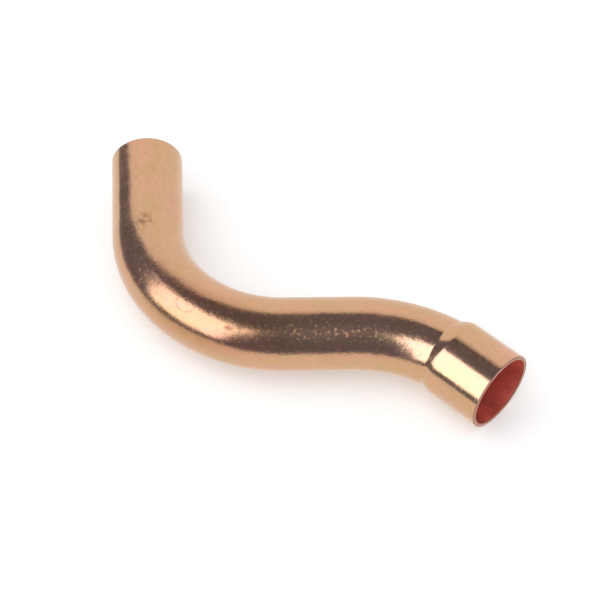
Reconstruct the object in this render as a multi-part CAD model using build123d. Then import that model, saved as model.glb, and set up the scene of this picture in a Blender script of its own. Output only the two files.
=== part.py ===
from build123d import *
from math import cos, radians
import os

# Partial crossover fitting for copper pipe: one length of drawn tube, bent twice and swelled at one end.
# The plain spigot goes into a tee, the hump clears a pipe that crosses in front, and the return bend
# brings the run back to its line, where the socket takes the end of the next tube.
# Millimetres. The origin is the centre of the spigot's end face, +Y points out of the spigot along its
# axis, and +Z is square to the flat plane in which the tube is bent.

# Tube
TUBE_OD = 15.0            # outside diameter of the tube, and so of the spigot
WALL = 0.8                # wall of the tube, which the swelled socket keeps

# Route of the centreline, from the spigot's end to the socket's mouth
SPIGOT_LENGTH = 21.2      # straight run that enters another fitting's socket
HUMP_RADIUS = 26.9        # centreline radius of the hump
HUMP_TURN = 90.0          # degrees
MIDDLE_LENGTH = 14.1      # straight run between the two bends
RETURN_RADIUS = 31.0      # centreline radius of the return bend
RETURN_TURN = 32.3        # degrees turned back in the bend
RUN_IN_LENGTH = 1.3       # straight run from the return bend to the shoulder
SHOULDER_TURN = 12.7      # degrees turned back at the shoulder, where the socket's axis sets off
SHOULDER_BEFORE = 1.8     # length of the shoulder before the two axes meet
SHOULDER_AFTER = 1.1      # length of the shoulder after the two axes meet
SOCKET_LENGTH = 11.7      # parallel depth of the socket, on its axis

# Form of the shoulder
SHOULDER_LEAN = 3.2       # degrees that the rings at its two ends lean from square to the socket's axis
SHOULDER_LEAVING = 1.1    # how far it holds to the tube's axis where it sets off
SHOULDER_ARRIVING = 4.0   # how far it holds to the socket's axis where it ends

# Solder joint with the next tube
CAPILLARY_GAP = 0.1       # how much wider the socket's bore is than the tube that enters it

# Cut ends
SPIGOT_LEAD_IN = 0.25     # bevel outside the spigot that starts it in a socket
MOUTH_LEAD_IN = 0.25      # bevel inside the socket that starts the tube

# Spans between the sections that shape the shoulder
SHOULDER_STEPS = 6

TUBE_RADIUS = TUBE_OD / 2
BORE_RADIUS = TUBE_RADIUS - WALL
SOCKET_BORE_RADIUS = (TUBE_OD + CAPILLARY_GAP) / 2
SOCKET_RADIUS = SOCKET_BORE_RADIUS + WALL


def along(length):
    """The move along a straight stretch: local Z is the direction of travel."""
    return Pos(0, 0, length)


def around(bend_radius, turn):
    """The move round a bend of the centreline: a positive turn leans towards local +X."""
    centre = bend_radius if turn > 0 else -bend_radius
    return Pos(centre, 0, 0) * Rot(0, turn, 0) * Pos(-centre, 0, 0)


def straight_rod(start, length, radius):
    """A round rod along a straight stretch of the centreline."""
    return extrude(start * Circle(radius), amount=length)


def bent_rod(start, bend_radius, turn, radius):
    """A round rod carried round a bend of the centreline."""
    side = 1 if turn > 0 else -1
    centre = (start * Pos(side * bend_radius, 0, 0)).position
    axis = Axis(centre, Plane(start).y_dir * side)
    return revolve(start * Circle(radius), axis=axis, revolution_arc=abs(turn))


# Where each stretch of the tube starts. Travel begins at the spigot's end face, along -Y.
SPIGOT_END = Plane(origin=(0, 0, 0), x_dir=(1, 0, 0), z_dir=(0, -1, 0)).location
HUMP_START = SPIGOT_END * along(SPIGOT_LENGTH)
MIDDLE_START = HUMP_START * around(HUMP_RADIUS, HUMP_TURN)
RETURN_START = MIDDLE_START * along(MIDDLE_LENGTH)
RUN_IN_START = RETURN_START * around(RETURN_RADIUS, -RETURN_TURN)
SHOULDER_START = RUN_IN_START * along(RUN_IN_LENGTH)
SHOULDER_END = SHOULDER_START * along(SHOULDER_BEFORE) * Rot(0, -SHOULDER_TURN, 0) * along(SHOULDER_AFTER)
SOCKET_MOUTH = SHOULDER_END * along(SOCKET_LENGTH)

# The rings that bound the shoulder. Their planes are parallel.
START_LEAN = SHOULDER_TURN - SHOULDER_LEAN
START_RING = SHOULDER_START * Rot(0, -START_LEAN, 0)
END_RING = SHOULDER_END * Rot(0, SHOULDER_LEAN, 0)


def run_in_rod(radius):
    """A round rod from the return bend to the leaning ring where the shoulder starts."""
    rod = straight_rod(RUN_IN_START, RUN_IN_LENGTH + radius, radius)
    return split(rod, bisect_by=Plane(START_RING), keep=Keep.BOTTOM)


def shoulder_rod(radius, end_radius):
    """A rod that widens and turns from ring to ring. Its sections are ellipses in parallel planes, whose
    centres and half axes go over from those of the tube to those of the socket along a cubic curve."""
    start, end = START_RING.position, END_RING.position
    leaving, arriving = Plane(SHOULDER_START).z_dir, Plane(SHOULDER_END).z_dir
    long_radius, long_end_radius = radius / cos(radians(START_LEAN)), end_radius / cos(radians(SHOULDER_LEAN))
    sections = []
    for step in range(SHOULDER_STEPS + 1):
        share = step / SHOULDER_STEPS
        eased = share * share * (3 - 2 * share)
        centre = start + (end - start) * eased
        centre += leaving * SHOULDER_LEAVING * share * (1 - share) ** 2
        centre -= arriving * SHOULDER_ARRIVING * share ** 2 * (1 - share)
        place = Pos(*(centre - start)) * START_RING
        sections.append(place * Ellipse(long_radius + (long_end_radius - long_radius) * eased,
                                        radius + (end_radius - radius) * eased))
    return loft(sections)


def socket_rod(radius):
    """A round rod from the leaning ring where the shoulder ends to the socket's mouth."""
    rod = straight_rod(SHOULDER_END * along(-radius), SOCKET_LENGTH + radius, radius)
    return split(rod, bisect_by=Plane(END_RING), keep=Keep.TOP)


def rod_along_route(tube_radius, socket_radius):
    """The whole route as one solid rod, of one radius up to the shoulder and another in the socket."""
    rod = straight_rod(SPIGOT_END, SPIGOT_LENGTH, tube_radius)
    rod += bent_rod(HUMP_START, HUMP_RADIUS, HUMP_TURN, tube_radius)
    rod += straight_rod(MIDDLE_START, MIDDLE_LENGTH, tube_radius)
    rod += bent_rod(RETURN_START, RETURN_RADIUS, -RETURN_TURN, tube_radius)
    rod += run_in_rod(tube_radius)
    rod += shoulder_rod(tube_radius, socket_radius)
    rod += socket_rod(socket_radius)
    return rod


def rim_edge(tube, end, radius):
    """The round edge of the given radius at one cut end of the tube."""
    circles = tube.edges().filter_by(GeomType.CIRCLE)
    at_end = [edge for edge in circles if (edge.arc_center - end.position).length < WALL / 4]
    return min(at_end, key=lambda edge: abs(edge.radius - radius))


def make_fitting():
    """Outside less bore, with a bevel on each edge that meets the wall of another piece."""
    tube = rod_along_route(TUBE_RADIUS, SOCKET_RADIUS) - rod_along_route(BORE_RADIUS, SOCKET_BORE_RADIUS)
    tube = chamfer(rim_edge(tube, SPIGOT_END, TUBE_RADIUS), SPIGOT_LEAD_IN)
    tube = chamfer(rim_edge(tube, SOCKET_MOUTH, SOCKET_BORE_RADIUS), MOUTH_LEAD_IN)
    return tube


os.makedirs("parts", exist_ok=True)
fitting = make_fitting()
fitting.label = "fitting"
export_step(fitting, "parts/fitting.step")
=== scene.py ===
"""Copper crossover fitting, laid on a pale studio floor.

A length of drawn copper tube, bent twice in one plane, with a plain spigot at one end and a swelled
solder socket at the other. Blender units are metres. The origin is the centre of the spigot's end face,
+Y points out of the spigot along its axis, and +Z is square to the plane in which the tube is bent.
"""
from math import pi, radians

import bpy
import numpy as np
from mathutils import Matrix, Vector

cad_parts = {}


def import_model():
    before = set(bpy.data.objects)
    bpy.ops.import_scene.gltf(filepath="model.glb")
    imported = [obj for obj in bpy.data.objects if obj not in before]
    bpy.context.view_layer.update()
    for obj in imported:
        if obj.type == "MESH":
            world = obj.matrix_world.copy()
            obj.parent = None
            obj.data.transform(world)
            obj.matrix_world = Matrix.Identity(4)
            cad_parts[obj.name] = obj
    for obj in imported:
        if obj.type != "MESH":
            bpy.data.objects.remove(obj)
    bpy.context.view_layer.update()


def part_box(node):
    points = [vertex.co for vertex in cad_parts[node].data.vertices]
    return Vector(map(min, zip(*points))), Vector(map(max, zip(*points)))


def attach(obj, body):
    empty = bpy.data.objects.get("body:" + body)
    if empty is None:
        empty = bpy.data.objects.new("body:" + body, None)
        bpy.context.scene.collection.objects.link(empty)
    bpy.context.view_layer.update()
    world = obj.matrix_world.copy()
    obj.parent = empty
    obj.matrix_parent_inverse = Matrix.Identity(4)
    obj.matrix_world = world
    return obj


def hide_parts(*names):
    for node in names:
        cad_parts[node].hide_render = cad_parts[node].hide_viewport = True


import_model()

bl_info = {
    "name": "Copper Crossover Fitting",
    "version": (1, 0, 0),
    "blender": (4, 5, 0),
    "location": "3D View > Sidebar > Fitting",
    "description": "A bent copper tube fitting with a swelled solder socket, and a small studio for it",
    "category": "Add Mesh",
}

MM = 0.001


# ------------------------------------------------------------------------------------------------
# Settings
# ------------------------------------------------------------------------------------------------

def length(name, description, default):
    """A length in metres that a user may change."""
    return bpy.props.FloatProperty(name=name, description=description, default=default, min=0.0,
                                   unit="LENGTH", precision=5)


def angle(name, description, default):
    """An angle, given here in degrees, that a user may change."""
    return bpy.props.FloatProperty(name=name, description=description, default=radians(default),
                                   subtype="ANGLE", unit="ROTATION")


def amount(name, description, default, most=1.0):
    """A plain number from nothing to the most it may be."""
    return bpy.props.FloatProperty(name=name, description=description, default=default, min=0.0, max=most,
                                   precision=3)


def colour(name, description, default):
    """A colour written as an sRGB hex value."""
    return bpy.props.StringProperty(name=name, description=description, default=default, maxlen=7)


class TubeSizes(bpy.types.PropertyGroup):
    """The tube and the route that its centreline takes from the spigot to the socket's mouth."""
    tube_diameter: length("Tube", "Outside diameter of the drawn tube and of the spigot", 15.0 * MM)
    wall: length("Wall", "Thickness of the tube's wall", 0.8 * MM)
    socket_bore: length("Socket bore", "Inside diameter of the swelled socket", 15.1 * MM)
    spigot: length("Spigot", "Straight run at the plain end", 21.2 * MM)
    hump_radius: length("Hump radius", "Centreline radius of the first bend", 26.9 * MM)
    hump_turn: angle("Hump turn", "How far the first bend turns", 90.0)
    middle: length("Middle", "Straight run between the two bends", 14.1 * MM)
    return_radius: length("Return radius", "Centreline radius of the second bend", 31.0 * MM)
    return_turn: angle("Return turn", "How far the second bend turns back", 32.3)
    run_in: length("Run in", "Straight run from the second bend to the shoulder", 1.3 * MM)
    shoulder_turn: angle("Shoulder turn", "Turn from the tube's axis to the socket's, at the shoulder", 12.7)
    shoulder_before: length("Shoulder before", "Length of the shoulder before the axes meet", 1.8 * MM)
    shoulder_after: length("Shoulder after", "Length of the shoulder after the axes meet", 1.1 * MM)
    shoulder_lean: angle("Shoulder lean", "How far the shoulder's rings lean from square to the socket", 3.2)
    shoulder_leaving: length("Shoulder leaving", "How far the shoulder holds to the tube's axis", 1.1 * MM)
    shoulder_arriving: length("Shoulder arriving", "How far the shoulder holds to the socket's axis", 4.0 * MM)
    socket: length("Socket", "Parallel depth of the socket on its axis", 11.7 * MM)
    bevel: length("End bevel", "How far the cut ends are dressed back", 0.25 * MM)
    easing: length("Easing", "Stretch over which a bend sets in", 3.0 * MM)
    unevenness: length("Unevenness", "Height of the soft waves that bending leaves", 0.012 * MM)


class CopperFinish(bpy.types.PropertyGroup):
    """Colours and surface of the drawn tube, its bore and its cut ends."""
    tone: colour("Copper", "Clean drawn copper", "#D6AA85")
    tone_pink: colour("Fresh copper", "Copper where handling has kept it bright", "#E0A98C")
    tone_straw: colour("Straw tint", "Copper with the first thin film of tarnish", "#D0AA7C")
    stain: colour("Stain", "Brown of an old water mark", "#8A5B40")
    bore: colour("Bore", "Red film that annealing leaves in the bore", "#F07A68")
    bore_deep: colour("Deep bore", "The same film where it is thicker", "#AE5450")
    rim: colour("Cut end", "Copper of the sawn and dressed ends", "#B98870")
    roughness: amount("Roughness", "How blurred the drawn surface reflects", 0.15)
    peel_depth: length("Peel depth", "Height of the orange peel that annealing and bending raise", 0.04 * MM)
    line_depth: length("Draw line depth", "Height of the fine lines along the tube", 0.0012 * MM)


class StudioSetup(bpy.types.PropertyGroup):
    """Camera, floor, lamps and cards."""
    lens: bpy.props.FloatProperty(name="Lens", description="Focal length on a 36 mm sensor", default=142.8,
                                  min=1.0, unit="CAMERA")
    floor_size: length("Floor", "Side of the square floor", 6.0)
    floor: colour("Floor colour", "Pale paper of the floor", "#F2F2F2")
    softbox: amount("Softbox", "Brightness of the softbox in the metal", 2.6, 20.0)
    cards: amount("Cards", "Brightness of the white cards in the metal", 1.0, 20.0)
    room: amount("Room", "Brightness of the dark room in the metal", 0.165, 5.0)


# ------------------------------------------------------------------------------------------------
# Colours and nodes
# ------------------------------------------------------------------------------------------------

def linear(hex_value, alpha=1.0):
    """sRGB hex to linear: v / 12.92 up to 0.04045, and ((v + 0.055) / 1.055) to the power 2.4 above."""
    v = np.array([int(hex_value[i:i + 2], 16) for i in (1, 3, 5)]) / 255.0
    v = np.where(v <= 0.04045, v / 12.92, ((v + 0.055) / 1.055) ** 2.4)
    return (*v.tolist(), alpha)


def add_node(tree, kind, links=None, **settings):
    """Adds a node. Settings whose names are the node's own properties are set there. The rest, and links,
    name input sockets (or their numbers, as in_0), and take a value or another node's output."""
    node = tree.nodes.new(kind)
    values = dict(links or {})
    for name, value in settings.items():
        if hasattr(node, name):
            setattr(node, name, value)
        else:
            values[int(name[3:]) if name.startswith("in_") else name.replace("_", " ")] = value
    for name, value in values.items():
        if isinstance(value, bpy.types.NodeSocket):
            tree.links.new(value, node.inputs[name])
        else:
            node.inputs[name].default_value = value
    return node


def new_material(name):
    """A material with nothing but its output node."""
    made = bpy.data.materials.new(name)
    made.use_nodes = True
    made.node_tree.nodes.clear()
    return made, made.node_tree, add_node(made.node_tree, "ShaderNodeOutputMaterial")


def ramp(tree, factor, stops):
    """A colour ramp from (place, colour) pairs."""
    node = add_node(tree, "ShaderNodeValToRGB", {"Fac": factor})
    marks = node.color_ramp.elements
    while len(marks) < len(stops):
        marks.new(0.5)
    for mark, (place, value) in zip(marks, stops):
        mark.position = place
        mark.color = value
    return node.outputs["Color"]


def grey(value):
    return (value, value, value, 1.0)


def maths(tree, operation, a, b=0.0, c=0.0):
    """One step of arithmetic on up to three numbers or outputs."""
    return add_node(tree, "ShaderNodeMath", {0: a, 1: b, 2: c}, operation=operation).outputs[0]


def mixed(tree, factor, a, b):
    """Colour a where the factor is 0, colour b where it is 1."""
    node = add_node(tree, "ShaderNodeMix", {0: factor, 6: a, 7: b}, data_type="RGBA")
    return node.outputs[2]


def unbent(tree, spacing):
    """Coordinates of the tube before it was bent, divided by the spacing (across, across, along) in mm.
    The attribute holds millimetres, so a pattern of scale 1 repeats about once in the spacing."""
    place = add_node(tree, "ShaderNodeAttribute", attribute_name="unbent", attribute_type="GEOMETRY")
    scale = tuple(1.0 / v for v in spacing)
    return add_node(tree, "ShaderNodeMapping", {"Vector": place.outputs["Vector"], "Scale": scale}).outputs[0]


def noise(tree, spacing, detail=3.0, roughness=0.5, seed=0.0):
    """Noise whose grains are about as far apart as the spacing says."""
    node = add_node(tree, "ShaderNodeTexNoise", {"Vector": unbent(tree, spacing), "W": seed},
                    noise_dimensions="4D", Scale=1.0, Detail=detail, Roughness=roughness)
    return node.outputs["Fac"]


def spot(tree, place, size, soft=0.5):
    """1 in an oval round a place on the tube, falling to 0 at its edge. The place is (distance from the
    spigot's end in mm, angle round the tube in degrees) and the size (along, across) in mm."""
    along, turn = place
    centre = (TUBE_SKIN * np.cos(radians(turn)), TUBE_SKIN * np.sin(radians(turn)), along)
    point = add_node(tree, "ShaderNodeAttribute", attribute_name="unbent", attribute_type="GEOMETRY")
    moved = add_node(tree, "ShaderNodeVectorMath", {0: point.outputs["Vector"], 1: centre},
                     operation="SUBTRACT")
    scaled = add_node(tree, "ShaderNodeVectorMath",
                      {0: moved.outputs[0], 1: (2 / size[1], 2 / size[1], 2 / size[0])}, operation="MULTIPLY")
    away = add_node(tree, "ShaderNodeVectorMath", {0: scaled.outputs[0]}, operation="LENGTH").outputs["Value"]
    return add_node(tree, "ShaderNodeMapRange", {"Value": away, "From Min": 1.0, "From Max": 1.0 - soft,
                                                 "To Min": 0.0, "To Max": 1.0}, interpolation_type="SMOOTHSTEP",
                    clamp=True).outputs[0]


TUBE_SKIN = 7.5  # mm from the tube's axis to its skin, where the marks on it lie


# ------------------------------------------------------------------------------------------------
# Shape
# ------------------------------------------------------------------------------------------------

def smooth_step(t):
    """0 up to t = 0, 1 from t = 1, and 3 t squared less 2 t cubed between."""
    t = np.clip(t, 0.0, 1.0)
    return t * t * (3.0 - 2.0 * t)


def running_sum(values, step):
    """Trapezoid integral of the values from the first one to each."""
    return np.concatenate([[0.0], np.cumsum((values[1:] + values[:-1]) * 0.5 * step)])


def stretches(sizes):
    """Lengths of the route's stretches up to the shoulder, and how far each turns."""
    lengths = np.array([sizes.spigot, sizes.hump_radius * sizes.hump_turn, sizes.middle,
                        sizes.return_radius * sizes.return_turn, sizes.run_in])
    return lengths, np.array([0.0, sizes.hump_turn, 0.0, -sizes.return_turn, 0.0])


def landmarks(sizes):
    """Distances at which the stretches end, the shoulder ends, and the tube ends at the mouth."""
    ends = np.cumsum(stretches(sizes)[0])
    shoulder = ends[-1] + sizes.shoulder_before + sizes.shoulder_after
    return [*ends, shoulder, shoulder + sizes.socket]


def centre_line(sizes, easing):
    """Table of distance, x, y and heading along the centreline. The curvature is each stretch's turn over
    its length, eased in and out over the easing. The heading is its integral, measured from -Y towards +X,
    and the place is the integral of (sine of heading, minus cosine of heading)."""
    lengths, turns = stretches(sizes)
    ends = np.cumsum(lengths)
    starts = ends - lengths
    s = np.linspace(0.0, ends[-1] + 3 * MM, 8001)
    inside = (smooth_step((s[:, None] - starts) / easing + 0.5)
              - smooth_step((s[:, None] - ends) / easing + 0.5))
    heading = running_sum(inside @ (turns / lengths), s[1])
    return s, running_sum(np.sin(heading), s[1]), running_sum(-np.cos(heading), s[1]), heading


def route(sizes, s):
    """Place (x, y) and heading at the distances s. What the easing moves the shoulder by is shared out
    evenly along the tube, so that both ends are where the frame has them."""
    table = centre_line(sizes, sizes.easing)
    sharp = centre_line(sizes, 1e-6)
    share = table[0] / table[0][-1]
    x = table[1] + (sharp[1][-1] - table[1][-1]) * share
    y = table[2] + (sharp[2][-1] - table[2][-1]) * share
    return np.interp(s, table[0], x), np.interp(s, table[0], y), np.interp(s, table[0], table[3])


def on_tube(x, y, heading, radius, turn):
    """The point at a turn round the axis: its place, plus the radius times (cosine of the turn times the side
    direction, plus sine of the turn times up)."""
    side = radius * np.cos(turn)
    return np.stack(np.broadcast_arrays(x + side * np.cos(heading), y + side * np.sin(heading),
                                        radius * np.sin(turn)), axis=-1)


def wall_points(sizes, s, turn, radius, tube, socket, swell):
    """Points of one wall over rows s and columns turn, and how far along the tube each lies.

    Up to the shoulder the radius is carried along the route, and in the socket along its straight axis. Near
    the shoulder the rows lean, by the radius times cosine of the turn times the tangent of the lean, until
    they lie in its rings. The shoulder goes from ring to ring on the cubic curve that leaves along the tube's
    axis and arrives along the socket's. The swell is added outwards."""
    marks = landmarks(sizes)
    start, end, mouth = marks[4], marks[5], marks[6]
    start_lean = np.tan(sizes.shoulder_turn - sizes.shoulder_lean)
    end_lean = np.tan(sizes.shoulder_lean)
    x0, y0, first = route(sizes, start)
    second = first - sizes.shoulder_turn
    x1 = x0 + sizes.shoulder_before * np.sin(first) + sizes.shoulder_after * np.sin(second)
    y1 = y0 - sizes.shoulder_before * np.cos(first) - sizes.shoulder_after * np.cos(second)

    def before(rows, r):
        along = rows + tube * np.cos(turn) * start_lean * smooth_step(1.0 - (start - rows) / (10 * MM))
        return along, on_tube(*route(sizes, along), r, turn)

    def after(rows, r):
        along = rows - socket * np.cos(turn) * end_lean * np.clip((mouth - 1 * MM - rows) / (mouth - 1 * MM - end),
                                                                  0.0, 1.0)
        gone = along - end
        return along, on_tube(x1 + gone * np.sin(second), y1 - gone * np.cos(second), second, r, turn)

    leaving = sizes.shoulder_leaving * np.array([np.sin(first), -np.cos(first), 0.0])
    arriving = sizes.shoulder_arriving * np.array([np.sin(second), -np.cos(second), 0.0])
    s_a, ring_a = before(np.full_like(s, start), tube)
    s_b, ring_b = after(np.full_like(s, end), socket)
    t = np.clip((s - start) / (end - start), 0.0, 1.0)[..., None]
    eased = smooth_step(t)
    between = (ring_a * (1 - eased) + ring_b * eased + leaving * t * (1 - t) ** 2 - arriving * t ** 2 * (1 - t))
    s_tube, on_first = before(np.minimum(s, start), radius)
    s_socket, on_second = after(np.maximum(s, end), radius)
    early, late = s <= start, s >= end
    along = np.where(early, s_tube, np.where(late, s_socket, s_a * (1 - t[..., 0]) + s_b * t[..., 0]))
    points = np.where(early[..., None], on_first, np.where(late[..., None], on_second, between))
    heading = np.where(s <= start, route(sizes, s)[2], second)
    return along, points + on_tube(0.0, 0.0, heading, swell(sizes, along, turn), turn)


def spaced(marks, steps):
    """Distances from mark to mark, with about the given step within each stretch."""
    parts = [np.linspace(a, b, max(2, int(np.ceil((b - a) / step)) + 1))
             for a, b, step in zip(marks[:-1], marks[1:], steps)]
    return np.unique(np.round(np.concatenate(parts), 9))


def cut_end(inner, outer, depth, fullness, count):
    """Rounded end of the wall as (how far it stands out, radius): a superellipse whose half axes are the
    depth and half the wall. The higher the fullness, the squarer the end."""
    t = np.linspace(pi / 2, -pi / 2, count)
    power = 2.0 / fullness
    out = depth * np.abs(np.cos(t)) ** power
    radius = (inner + outer) / 2 + (outer - inner) / 2 * np.sign(np.sin(t)) * np.abs(np.sin(t)) ** power
    return out, radius


def tube_profile(sizes):
    """The closed line that is carried round the tube, as distance along it, radius and kind: 0 on the outer
    wall, 1 in the bore and 2 on the cut ends."""
    marks = landmarks(sizes)
    edge, whole = sizes.bevel, marks[-1]
    tube, socket = sizes.tube_diameter / 2, sizes.socket_bore / 2 + sizes.wall
    bore, socket_bore = tube - sizes.wall, sizes.socket_bore / 2
    stops = [edge, marks[0], marks[4] - 2 * MM, marks[4], marks[5], marks[5] + 1.5 * MM, whole - edge]
    outside = spaced(stops, [0.5 * MM, 0.36 * MM, 0.2 * MM, 0.1 * MM, 0.2 * MM, 0.4 * MM])
    inside = spaced(stops, [0.9 * MM, 0.8 * MM, 0.4 * MM, 0.2 * MM, 0.4 * MM, 0.6 * MM])[::-1]
    mouth_out, mouth_r = cut_end(socket_bore, socket, edge, 4.0, 15)
    spigot_out, spigot_r = cut_end(bore, tube, edge, 3.2, 15)
    middle = (marks[4] + marks[5]) / 2
    rows = [
        (outside, np.where(outside < middle, tube, socket), 0),
        (whole - edge + mouth_out[1:-1], mouth_r[1:-1], 2),
        (inside, np.where(inside < middle, bore, socket_bore), 1),
        (edge - spigot_out[1:-1], spigot_r[::-1][1:-1], 2),
    ]
    s = np.concatenate([row[0] for row in rows])
    r = np.concatenate([row[1] for row in rows])
    kind = np.concatenate([np.full(len(row[0]), row[2]) for row in rows])
    return s, r, kind


def waves(sizes, s, turn):
    """Soft unevenness of the outer wall: a few sine waves of 5 to 14 mm along and round the tube, none at
    the cut ends and a third in the socket, which a punch has sized."""
    marks = landmarks(sizes)
    mm = s / MM
    height = (0.45 * np.sin(2 * pi * mm / 13.7 + 2.0 * turn + 0.6) + 0.35 * np.sin(2 * pi * mm / 8.3 - 3.0 * turn)
              + 0.25 * np.sin(2 * pi * mm / 5.1 + 1.0 * turn + 2.1) + 0.3 * np.sin(5.0 * turn + 0.06 * mm))
    keep = smooth_step(s / (4 * MM)) * smooth_step((marks[6] - s) / (4 * MM))
    keep = keep * (1.0 - 0.67 * smooth_step((s - marks[4]) / (marks[5] - marks[4])))
    return sizes.unevenness * height * keep


def tube_mesh(sizes, columns=180):
    """The profile carried along the tube and round it, as one closed grid."""
    s, r, kind = tube_profile(sizes)
    turn = (np.arange(columns) * (2 * pi / columns))[None, :]
    rows, wide = len(s), sizes.tube_diameter / 2
    whole_s = np.repeat(s[:, None], columns, axis=1)
    outer = wall_points(sizes, whole_s, turn, r[:, None], wide, sizes.socket_bore / 2 + sizes.wall, waves)
    inner = wall_points(sizes, whole_s, turn, r[:, None], wide - sizes.wall, sizes.socket_bore / 2,
                        lambda sizes, s, turn: np.zeros_like(s))
    inside = (kind == 1)[:, None]
    along = np.where(inside, inner[0], outer[0])
    points = np.where(inside[..., None], inner[1], outer[1])
    straight = np.stack(np.broadcast_arrays(r[:, None] * np.cos(turn), r[:, None] * np.sin(turn), along), axis=-1)

    i, j = np.meshgrid(np.arange(rows), np.arange(columns), indexing="ij")
    i2, j2 = (i + 1) % rows, (j + 1) % columns
    faces = np.stack([i * columns + j, i * columns + j2, i2 * columns + j2, i2 * columns + j], axis=-1)
    faces = faces.reshape(-1, 4)
    path = np.concatenate([[0.0], np.cumsum(np.hypot(np.diff(s), np.diff(r)))])
    lap = path[-1] + np.hypot(s[0] - s[-1], r[0] - r[-1])
    u = np.stack([j, j + 1, j + 1, j], axis=-1) / columns
    v = np.stack([path[i], path[i], np.where(i2 > 0, path[i2], lap), np.where(i2 > 0, path[i2], lap)], axis=-1)
    maps = np.stack([u, v / lap], axis=-1).reshape(-1, 2)
    kinds = np.maximum(kind[i], kind[i2])
    joins = (kind[i] != kind[i2]) & ((kind[i] == 2) | (kind[i2] == 2))
    kinds = np.where(joins, 2, kinds).reshape(-1)

    flat = points.reshape(-1, 3)
    corners = flat[faces]
    inward = np.einsum("ij,ij->i", corners[:, 0], np.cross(corners[:, 1], corners[:, 2])).sum() < 0
    if inward:
        faces, maps = faces[:, ::-1], maps.reshape(-1, 4, 2)[:, ::-1].reshape(-1, 2)
    mesh = bpy.data.meshes.new("copper_tube")
    mesh.from_pydata(flat, [], faces)
    mesh.polygons.foreach_set("use_smooth", np.ones(len(faces), bool))
    mesh.polygons.foreach_set("material_index", kinds.astype(np.int32))
    mesh.uv_layers.new(name="UVMap").data.foreach_set("uv", maps.astype(np.float32).ravel())
    place = mesh.attributes.new("unbent", "FLOAT_VECTOR", "POINT")
    place.data.foreach_set("vector", (straight / MM).astype(np.float32).ravel())
    mesh.update()
    return mesh


# ------------------------------------------------------------------------------------------------
# Materials
# ------------------------------------------------------------------------------------------------

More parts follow.
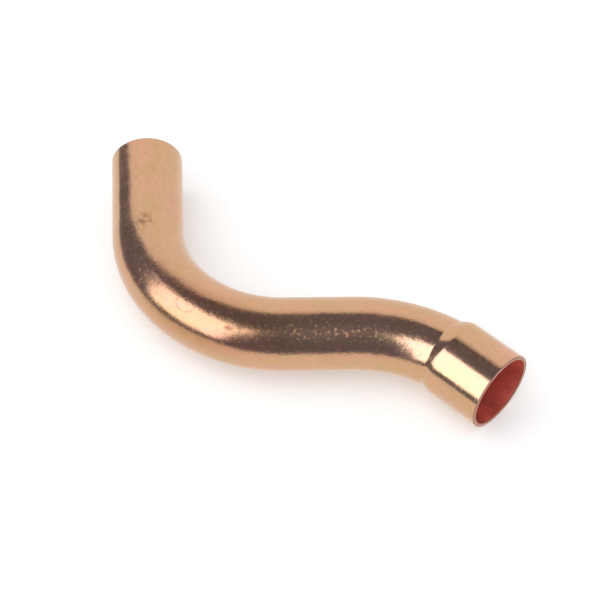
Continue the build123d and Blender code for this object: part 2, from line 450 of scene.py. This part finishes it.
def drawn_copper(finish):
    """Drawn copper tube, annealed, bent and pickled. Drawing leaves a smooth satin skin with fine lines along
    the tube. Annealing coarsens the grain, so that bending raises a faint orange peel."""
    made, tree, output = new_material("drawn_copper")

    # Colour: thin tarnish that comes and goes in long streaks, and two old water marks.
    streaks = noise(tree, (1.5, 1.5, 30.0), 4.0, 0.6, 1.0)
    clouds = noise(tree, (6.0, 6.0, 11.0), 3.0, 0.5, 2.0)
    tint = mixed(tree, ramp(tree, clouds, [(0.38, grey(0)), (0.64, grey(1))]),
                 linear(finish.tone_pink), linear(finish.tone_straw))
    skin = mixed(tree, ramp(tree, streaks, [(0.38, grey(0)), (0.60, grey(1))]), linear(finish.tone), tint)
    ragged = noise(tree, (0.9, 0.9, 1.2), 3.0, 0.6, 3.0)
    dirt = maths(tree, "MAXIMUM", spot(tree, (23.2, 97.0), (6.0, 5.0), 1.0),
                 spot(tree, (20.8, 98.0), (3.4, 0.9), 0.9))
    drop = maths(tree, "SUBTRACT", spot(tree, (44.7, 122.0), (4.4, 4.0), 0.2),
                 spot(tree, (44.7, 122.0), (3.7, 3.3), 0.2))
    dirt = maths(tree, "MAXIMUM", dirt, maths(tree, "MULTIPLY", drop, 0.6))
    dirt = maths(tree, "MULTIPLY", dirt, ramp(tree, ragged, [(0.40, grey(0.0)), (0.60, grey(0.85))]))
    dirt = maths(tree, "MAXIMUM", dirt, maths(tree, "MULTIPLY", spot(tree, (53.6, 131.0), (2.6, 1.5), 0.9), 0.6))
    dirt = maths(tree, "MAXIMUM", dirt, maths(tree, "MULTIPLY", spot(tree, (55.4, 126.0), (1.5, 1.7), 0.9), 0.5))
    skin = mixed(tree, dirt, skin, linear(finish.stain))
    # Darker, warmer copper over a long oval on the first bend, which dulls the bright reflection there.
    darker_tone = mixed(tree, spot(tree, (49.0, 130.0), (36.0, 15.0), 0.5), grey(1.0), (0.88, 0.78, 0.74, 1.0))
    skin = add_node(tree, "ShaderNodeMix", {0: 1.0, 6: skin, 7: darker_tone}, data_type="RGBA",
                    blend_type="MULTIPLY").outputs[2]
    mottle = ramp(tree, noise(tree, (1.0, 1.0, 1.4), 3.0, 0.6, 9.0), [(0.30, grey(0.93)), (0.62, grey(1.0))])
    skin = add_node(tree, "ShaderNodeMix", {0: 1.0, 6: skin, 7: mottle}, data_type="RGBA",
                    blend_type="MULTIPLY").outputs[2]

    # How much bending has worked the metal: none in the spigot and the socket, all between them.
    place = add_node(tree, "ShaderNodeAttribute", attribute_name="unbent", attribute_type="GEOMETRY")
    along = add_node(tree, "ShaderNodeSeparateXYZ", {0: place.outputs["Vector"]}).outputs["Z"]
    onset = add_node(tree, "ShaderNodeMapRange", {"Value": along, "From Min": 17.0, "From Max": 27.0,
                     "To Min": 0.0, "To Max": 1.0}, interpolation_type="SMOOTHSTEP").outputs[0]
    ending = add_node(tree, "ShaderNodeMapRange", {"Value": along, "From Min": 91.0, "From Max": 97.0,
                      "To Min": 1.0, "To Max": 0.0}, interpolation_type="SMOOTHSTEP").outputs[0]
    worked = maths(tree, "MULTIPLY", onset, ending)

    # Roughness: satin, a little duller where the tarnish and the stains are.
    dull = noise(tree, (2.4, 2.4, 9.0), 4.0, 0.6, 4.0)
    rough = add_node(tree, "ShaderNodeMapRange", {"Value": dull, "From Min": 0.3, "From Max": 0.7,
                     "To Min": finish.roughness - 0.025, "To Max": finish.roughness + 0.035}).outputs[0]
    rough = maths(tree, "ADD", rough, maths(tree, "MULTIPLY", dirt, 0.18))
    rough = maths(tree, "ADD", rough, maths(tree, "MULTIPLY", worked, 0.05))
    pits = ramp(tree, noise(tree, (0.7, 0.7, 0.8), 1.0, 0.5, 8.0), [(0.55, grey(0)), (0.67, grey(1))])
    scuffed = spot(tree, (72.0, 126.0), (34.0, 5.6), 0.8)
    pits = maths(tree, "MULTIPLY", pits, maths(tree, "MULTIPLY_ADD", scuffed, 0.75, 0.25))
    rough = maths(tree, "ADD", rough, maths(tree, "MULTIPLY", pits, 0.36))
    rough = maths(tree, "ADD", rough, maths(tree, "MULTIPLY", scuffed, 0.08))

    # Relief: grain of about 0.4 mm where the tube was bent, and draw lines. Real draw lines are a few
    # hundredths of a millimetre apart, too fine to show, and are drawn ten times coarser.
    grain = noise(tree, (0.6, 0.6, 0.6), 3.0, 0.6, 5.0)
    patchy = ramp(tree, noise(tree, (3.0, 3.0, 4.0), 2.0, 0.5, 6.0), [(0.42, grey(0.35)), (0.62, grey(1))])
    grain = maths(tree, "MULTIPLY", maths(tree, "MULTIPLY", grain, patchy),
                  maths(tree, "MULTIPLY_ADD", worked, 0.6, 0.4))
    lines = noise(tree, (0.4, 0.4, 18.0), 2.0, 0.5, 7.0)
    relief = add_node(tree, "ShaderNodeBump", {"Height": grain, "Distance": finish.peel_depth, "Strength": 1.0})
    relief = add_node(tree, "ShaderNodeBump", {"Height": lines, "Distance": finish.line_depth, "Strength": 1.0,
                                               "Normal": relief.outputs[0]})
    surface = add_node(tree, "ShaderNodeBsdfPrincipled", {
        "Base Color": skin, "Metallic": 1.0, "Roughness": rough, "Normal": relief.outputs[0]})
    tree.links.new(surface.outputs[0], output.inputs["Surface"])
    return made


def annealed_bore(finish):
    """Bore of an annealed tube. The furnace leaves a thin red film of oxide there, which pickling only thins,
    so the bore is redder and duller than the outside."""
    made, tree, output = new_material("annealed_bore")
    darker_tone = noise(tree, (3.0, 3.0, 5.0), 4.0, 0.55, 11.0)
    skin = mixed(tree, ramp(tree, darker_tone, [(0.36, grey(0)), (0.66, grey(0.7))]),
                 linear(finish.bore), linear(finish.bore_deep))
    fine = noise(tree, (0.35, 0.35, 0.35), 2.0, 0.5, 12.0)
    relief = add_node(tree, "ShaderNodeBump", {"Height": fine, "Distance": 0.005 * MM, "Strength": 1.0})
    surface = add_node(tree, "ShaderNodeBsdfPrincipled", {
        "Base Color": skin, "Metallic": 0.35, "Roughness": 0.4, "Normal": relief.outputs[0]})
    tree.links.new(surface.outputs[0], output.inputs["Surface"])
    return made


def dressed_end(finish):
    """Cut end of the tube: sawn, then dressed with a wire wheel, so it is bright with fine rings round it."""
    made, tree, output = new_material("dressed_end")
    rings = noise(tree, (1.6, 1.6, 0.06), 3.0, 0.6, 21.0)
    relief = add_node(tree, "ShaderNodeBump", {"Height": rings, "Distance": 0.003 * MM, "Strength": 1.0})
    surface = add_node(tree, "ShaderNodeBsdfPrincipled", {
        "Base Color": linear(finish.rim), "Metallic": 1.0, "Roughness": 0.38, "Normal": relief.outputs[0]})
    tree.links.new(surface.outputs[0], output.inputs["Surface"])
    return made


# ------------------------------------------------------------------------------------------------
# Stage
# ------------------------------------------------------------------------------------------------

def card_mesh(name, corners):
    """A flat card from its four corners."""
    mesh = bpy.data.meshes.new(name)
    mesh.from_pydata([tuple(c) for c in corners], [], [(0, 1, 2, 3)])
    return mesh


def stage_card(name, corners, material):
    """A card that only the metal sees, and neither the camera nor the floor."""
    card = bpy.data.objects.new(name, card_mesh(name, corners))
    bpy.context.scene.collection.objects.link(card)
    card.data.materials.append(material)
    card.visible_camera = card.visible_diffuse = card.visible_shadow = False
    return card


def towards(bearing, height):
    """Unit vector to a bearing from +Y clockwise seen from above, at a height over the horizon, in degrees."""
    b, h = radians(bearing), radians(height)
    return Vector((np.sin(b) * np.cos(h), np.cos(b) * np.cos(h), np.sin(h)))


def facing_corners(centre, bearing, height, away, wide, high):
    """Corners of a flat card that faces the centre from a bearing and height, at a distance."""
    out = towards(bearing, height)
    side = Vector((0, 0, 1)).cross(out).normalized()
    up = out.cross(side)
    middle = centre + out * away
    return [middle + side * (wide * a) + up * (high * b) for a, b in ((-0.5, -0.5), (0.5, -0.5), (0.5, 0.5),
                                                                     (-0.5, 0.5))]


def glowing(name, strength, tint=(1.0, 1.0, 1.0, 1.0), fade=None):
    """An even glow, that fades between two heights in metres where fade gives them."""
    made, tree, output = new_material(name)
    level = strength
    if fade:
        place = add_node(tree, "ShaderNodeTexCoord").outputs["Object"]
        z = add_node(tree, "ShaderNodeSeparateXYZ", {0: place}).outputs["Z"]
        level = add_node(tree, "ShaderNodeMapRange", {"Value": z, "From Min": fade[0], "From Max": fade[1],
                         "To Min": strength, "To Max": 0.0}, interpolation_type="SMOOTHSTEP").outputs[0]
    glow = add_node(tree, "ShaderNodeEmission", {"Color": tint, "Strength": level})
    tree.links.new(glow.outputs[0], output.inputs["Surface"])
    return made


def paper_floor(colour_value, lift):
    """Matt pale paper that keeps the object's shadow. To the camera it glows by the little that it lacks to
    white."""
    made, tree, output = new_material("paper_floor")
    paper = add_node(tree, "ShaderNodeBsdfDiffuse", {"Color": linear(colour_value)})
    path = add_node(tree, "ShaderNodeLightPath")
    lifted = maths(tree, "MULTIPLY", path.outputs["Is Camera Ray"], lift)
    glow = add_node(tree, "ShaderNodeEmission", {"Color": grey(1.0), "Strength": lifted})
    both = add_node(tree, "ShaderNodeAddShader", {0: paper.outputs[0], 1: glow.outputs[0]})
    tree.links.new(both.outputs[0], output.inputs["Surface"])
    return made


class AddCopperTube(bpy.types.Operator):
    """Adds the bent copper tube, and puts it in the place of the plain one"""
    bl_idname = "mesh.copper_tube_add"
    bl_label = "Add Copper Tube"

    def execute(self, context):
        scene = context.scene
        mesh = tube_mesh(scene.tube_sizes)
        for make in (drawn_copper, annealed_bore, dressed_end):
            mesh.materials.append(make(scene.copper_finish))
        tube = bpy.data.objects.new("copper_tube", mesh)
        scene.collection.objects.link(tube)
        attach(tube, "root")
        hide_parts("fitting")
        return {"FINISHED"}


class AddStudio(bpy.types.Operator):
    """Adds the floor, the lamps, the cards and the camera"""
    bl_idname = "scene.fitting_studio_add"
    bl_label = "Add Studio"

    def execute(self, context):
        scene = context.scene
        setup = scene.studio_setup
        (low, high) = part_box("fitting")
        centre = Vector([(a + b) / 2 for a, b in zip(low, high)])
        scene.view_settings.view_transform = "Standard"

        half, ground = setup.floor_size / 2, low[2]
        floor = bpy.data.objects.new("floor", card_mesh("floor", [
            (centre.x - half, centre.y - half, ground), (centre.x + half, centre.y - half, ground),
            (centre.x + half, centre.y + half, ground), (centre.x - half, centre.y + half, ground)]))
        scene.collection.objects.link(floor)
        floor.data.materials.append(paper_floor(setup.floor, 0.24))
        floor.visible_glossy = False

        # The white sweep that the metal sees under and behind the fitting, 0.5 m below it.
        white = glowing("white_sweep", setup.cards)
        drop = -0.5
        near, left, right, back = -2.2, -2.0, 2.4, 1.8
        stage_card("sweep", [(left, near, drop), (right, near, drop), (right, back, drop),
                             (left, back, drop)], white)
        stage_card("backdrop", [(-1.68, back, drop), (2.4, back, drop), (2.4, back, 4.6), (-1.68, back, 4.6)],
                   glowing("white_backdrop", setup.cards, fade=(2.6, 4.4)))
        stage_card("softbox", facing_corners(centre, -118.8, 31.0, 1.5, 1.5, 1.59),
                   glowing("softbox_cloth", setup.softbox, (0.93, 1.0, 1.14, 1.0)))
        stage_card("fill_card", facing_corners(centre, 112.0, 24.0, 1.6, 1.3, 1.3),
                   glowing("fill_cloth", setup.softbox * 0.8, (1.0, 0.98, 0.95, 1.0)))

        lamp = bpy.data.lights.new("key_sun", "SUN")
        lamp.energy, lamp.angle = 1.2, radians(80)
        key = bpy.data.objects.new("key_sun", lamp)
        key.rotation_euler = (-towards(-119.0, 55.0)).to_track_quat("-Z", "Y").to_euler()
        key.visible_glossy = False
        scene.collection.objects.link(key)

        world = bpy.data.worlds.new("studio_room")
        world.use_nodes = True
        tree = world.node_tree
        tree.nodes.clear()
        path = add_node(tree, "ShaderNodeLightPath")
        level = add_node(tree, "ShaderNodeMix", {0: path.outputs["Is Glossy Ray"], 2: 0.68, 3: setup.room},
                         data_type="FLOAT").outputs[0]
        level = add_node(tree, "ShaderNodeMix", {0: path.outputs["Is Camera Ray"], 2: level, 3: 1.0},
                         data_type="FLOAT").outputs[0]
        tint = mixed(tree, path.outputs["Is Glossy Ray"], grey(1.0), (0.95, 0.99, 1.38, 1.0))
        sky = add_node(tree, "ShaderNodeBackground", {"Color": tint, "Strength": level})
        tree.links.new(sky.outputs[0], add_node(tree, "ShaderNodeOutputWorld").inputs["Surface"])
        scene.world = world

        lens = bpy.data.cameras.new("camera")
        lens.sensor_width, lens.sensor_fit, lens.lens = 36.0, "HORIZONTAL", setup.lens
        lens.clip_start, lens.clip_end = 0.01, 50.0
        camera = bpy.data.objects.new("camera", lens)
        camera.matrix_world = Matrix.Translation((-0.00358, -0.35144, 0.37103)) @ Matrix((
            (0.99745, 0.01187, -0.0704), (-0.05446, 0.76438, -0.6425), (0.04622, 0.64465, 0.7631))).to_4x4()
        scene.collection.objects.link(camera)
        scene.camera = camera
        return {"FINISHED"}


class FittingPanel(bpy.types.Panel):
    """Sizes, finish and studio of the fitting"""
    bl_idname = "VIEW3D_PT_copper_fitting"
    bl_label = "Copper Fitting"
    bl_space_type = "VIEW_3D"
    bl_region_type = "UI"
    bl_category = "Fitting"

    def draw(self, context):
        for group in (context.scene.tube_sizes, context.scene.copper_finish, context.scene.studio_setup):
            box = self.layout.box()
            for name in group.__annotations__:
                box.prop(group, name)
        self.layout.operator(AddCopperTube.bl_idname)
        self.layout.operator(AddStudio.bl_idname)


CLASSES = (TubeSizes, CopperFinish, StudioSetup, AddCopperTube, AddStudio, FittingPanel)


def register():
    for made in CLASSES:
        bpy.utils.register_class(made)
    bpy.types.Scene.tube_sizes = bpy.props.PointerProperty(type=TubeSizes)
    bpy.types.Scene.copper_finish = bpy.props.PointerProperty(type=CopperFinish)
    bpy.types.Scene.studio_setup = bpy.props.PointerProperty(type=StudioSetup)


def unregister():
    del bpy.types.Scene.studio_setup
    del bpy.types.Scene.copper_finish
    del bpy.types.Scene.tube_sizes
    for made in reversed(CLASSES):
        bpy.utils.unregister_class(made)


def main():
    """Makes the studio and the fitting."""
    register()
    bpy.ops.scene.fitting_studio_add()
    bpy.ops.mesh.copper_tube_add()


if __name__ == "__main__":
    main()
